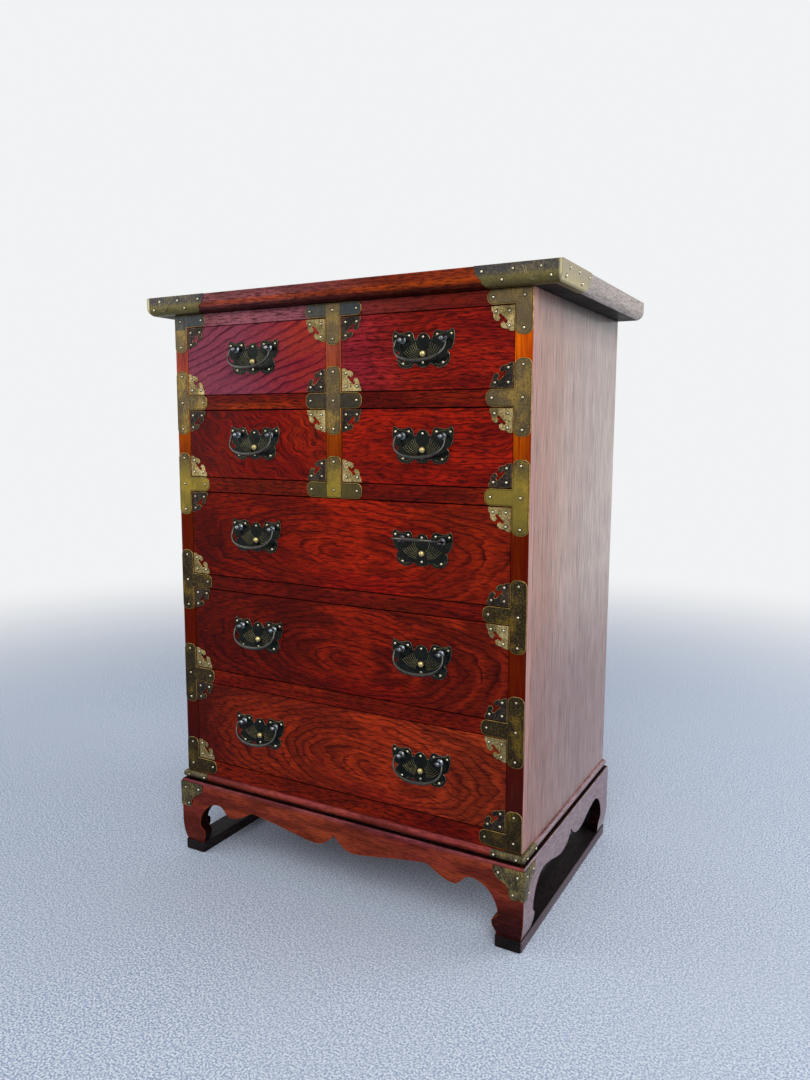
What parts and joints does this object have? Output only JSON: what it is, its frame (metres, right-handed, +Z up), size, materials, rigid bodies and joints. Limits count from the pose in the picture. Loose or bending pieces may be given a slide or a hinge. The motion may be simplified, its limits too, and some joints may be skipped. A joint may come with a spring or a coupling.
{
  "type": "chest of drawers",
  "caption": "Tall wooden chest of drawers with brass corner plates, bat-shaped drop handles, an overhanging top and a scalloped base on floor runners.",
  "frame": {"origin": "on the floor, under the middle of the bounding box", "axes": "+X to the right seen from the front, +Y to the back, +Z up"},
  "size_m": [0.751, 0.4808, 1.0001],
  "materials": {
    "front_wood": "glossy red lacquer over figured grain",
    "frame_wood": "glossy red-brown lacquer",
    "top_wood": "satin red-brown lacquer",
    "side_wood": "satin brown lacquer over straight grain",
    "inner_wood": "unfinished",
    "runner_wood": "dark satin lacquer",
    "plate_brass": "aged and worn",
    "nail_brass": "rubbed bright on the crowns",
    "handle_brass": "blackened, worn through on the edges"
  },
  "bodies": {
    "case": {"top_board": "top_wood", "side_panel_left": "side_wood", "side_panel_right": "side_wood", "stile_left": "frame_wood", "stile_right": "frame_wood", "top_rail": "frame_wood", "drawer_rails": "frame_wood", "bottom_rail": "frame_wood", "centre_muntins": "frame_wood", "back_boards": "inner_wood", "bottom_board": "inner_wood", "dust_boards": "inner_wood", "side_bearers": "inner_wood", "centre_bearers": "inner_wood", "back_rails": "inner_wood", "drawer_stops": "inner_wood", "plinth_board": "frame_wood", "front_apron": "frame_wood", "side_apron_left": "side_wood", "side_apron_right": "side_wood", "back_apron": "inner_wood", "corner_blocks": "inner_wood", "runner_left": "runner_wood", "runner_right": "runner_wood", "frame_plates": "plate_brass", "frame_nails": "nail_brass", "top_cap_left": "plate_brass", "top_cap_right": "plate_brass", "base_plates": "plate_brass"},
    "top_left_drawer": {"top_left_drawer_front": "front_wood", "top_left_drawer_box": "inner_wood", "top_left_drawer_mounts": "handle_brass"},
    "top_right_drawer": {"top_right_drawer_front": "front_wood", "top_right_drawer_box": "inner_wood", "top_right_drawer_mounts": "handle_brass"},
    "second_left_drawer": {"second_left_drawer_front": "front_wood", "second_left_drawer_box": "inner_wood", "second_left_drawer_mounts": "handle_brass"},
    "second_right_drawer": {"second_right_drawer_front": "front_wood", "second_right_drawer_box": "inner_wood", "second_right_drawer_mounts": "handle_brass"},
    "third_drawer": {"third_drawer_front": "front_wood", "third_drawer_box": "inner_wood", "third_drawer_mounts": "handle_brass"},
    "fourth_drawer": {"fourth_drawer_front": "front_wood", "fourth_drawer_box": "inner_wood", "fourth_drawer_mounts": "handle_brass"},
    "bottom_drawer": {"bottom_drawer_front": "front_wood", "bottom_drawer_box": "inner_wood", "bottom_drawer_mounts": "handle_brass"},
    "top_left_bail": {"top_left_bail": "handle_brass"},
    "top_right_bail": {"top_right_bail": "handle_brass"},
    "second_left_bail": {"second_left_bail": "handle_brass"},
    "second_right_bail": {"second_right_bail": "handle_brass"},
    "third_left_bail": {"third_left_bail": "handle_brass"},
    "third_right_bail": {"third_right_bail": "handle_brass"},
    "fourth_left_bail": {"fourth_left_bail": "handle_brass"},
    "fourth_right_bail": {"fourth_right_bail": "handle_brass"},
    "bottom_left_bail": {"bottom_left_bail": "handle_brass"},
    "bottom_right_bail": {"bottom_right_bail": "handle_brass"}
  },
  "joints": [
    {"name": "top_left_drawer_slide", "type": "slide", "parent": "case", "child": "top_left_drawer", "axis": [0, -1, 0], "range_m": [0, 0.3]},
    {"name": "top_right_drawer_slide", "type": "slide", "parent": "case", "child": "top_right_drawer", "axis": [0, -1, 0], "range_m": [0, 0.3]},
    {"name": "second_left_drawer_slide", "type": "slide", "parent": "case", "child": "second_left_drawer", "axis": [0, -1, 0], "range_m": [0, 0.3]},
    {"name": "second_right_drawer_slide", "type": "slide", "parent": "case", "child": "second_right_drawer", "axis": [0, -1, 0], "range_m": [0, 0.3]},
    {"name": "third_drawer_slide", "type": "slide", "parent": "case", "child": "third_drawer", "axis": [0, -1, 0], "range_m": [0, 0.3]},
    {"name": "fourth_drawer_slide", "type": "slide", "parent": "case", "child": "fourth_drawer", "axis": [0, -1, 0], "range_m": [0, 0.3]},
    {"name": "bottom_drawer_slide", "type": "slide", "parent": "case", "child": "bottom_drawer", "axis": [0, -1, 0], "range_m": [0, 0.3]},
    {"name": "top_left_bail_hinge", "type": "hinge", "parent": "top_left_drawer", "child": "top_left_bail", "pos_m": [-0.158, -0.20408, 0.9071], "axis": [-1, 0, 0], "range_deg": [-28, 160]},
    {"name": "top_right_bail_hinge", "type": "hinge", "parent": "top_right_drawer", "child": "top_right_bail", "pos_m": [0.158, -0.20408, 0.9071], "axis": [-1, 0, 0], "range_deg": [-28, 160]},
    {"name": "second_left_bail_hinge", "type": "hinge", "parent": "second_left_drawer", "child": "second_left_bail", "pos_m": [-0.158, -0.20408, 0.767], "axis": [-1, 0, 0], "range_deg": [-28, 160]},
    {"name": "second_right_bail_hinge", "type": "hinge", "parent": "second_right_drawer", "child": "second_right_bail", "pos_m": [0.158, -0.20408, 0.767], "axis": [-1, 0, 0], "range_deg": [-28, 160]},
    {"name": "third_left_bail_hinge", "type": "hinge", "parent": "third_drawer", "child": "third_left_bail", "pos_m": [-0.158, -0.20408, 0.61125], "axis": [-1, 0, 0], "range_deg": [-28, 160]},
    {"name": "third_right_bail_hinge", "type": "hinge", "parent": "third_drawer", "child": "third_right_bail", "pos_m": [0.158, -0.20408, 0.61125], "axis": [-1, 0, 0], "range_deg": [-104, 84]},
    {"name": "fourth_left_bail_hinge", "type": "hinge", "parent": "fourth_drawer", "child": "fourth_left_bail", "pos_m": [-0.158, -0.20408, 0.43985], "axis": [-1, 0, 0], "range_deg": [-28, 160]},
    {"name": "fourth_right_bail_hinge", "type": "hinge", "parent": "fourth_drawer", "child": "fourth_right_bail", "pos_m": [0.158, -0.20408, 0.43985], "axis": [-1, 0, 0], "range_deg": [-28, 160]},
    {"name": "bottom_left_bail_hinge", "type": "hinge", "parent": "bottom_drawer", "child": "bottom_left_bail", "pos_m": [-0.158, -0.20408, 0.26845], "axis": [-1, 0, 0], "range_deg": [-28, 160]},
    {"name": "bottom_right_bail_hinge", "type": "hinge", "parent": "bottom_drawer", "child": "bottom_right_bail", "pos_m": [0.158, -0.20408, 0.26845], "axis": [-1, 0, 0], "range_deg": [-28, 160]}
  ]
}
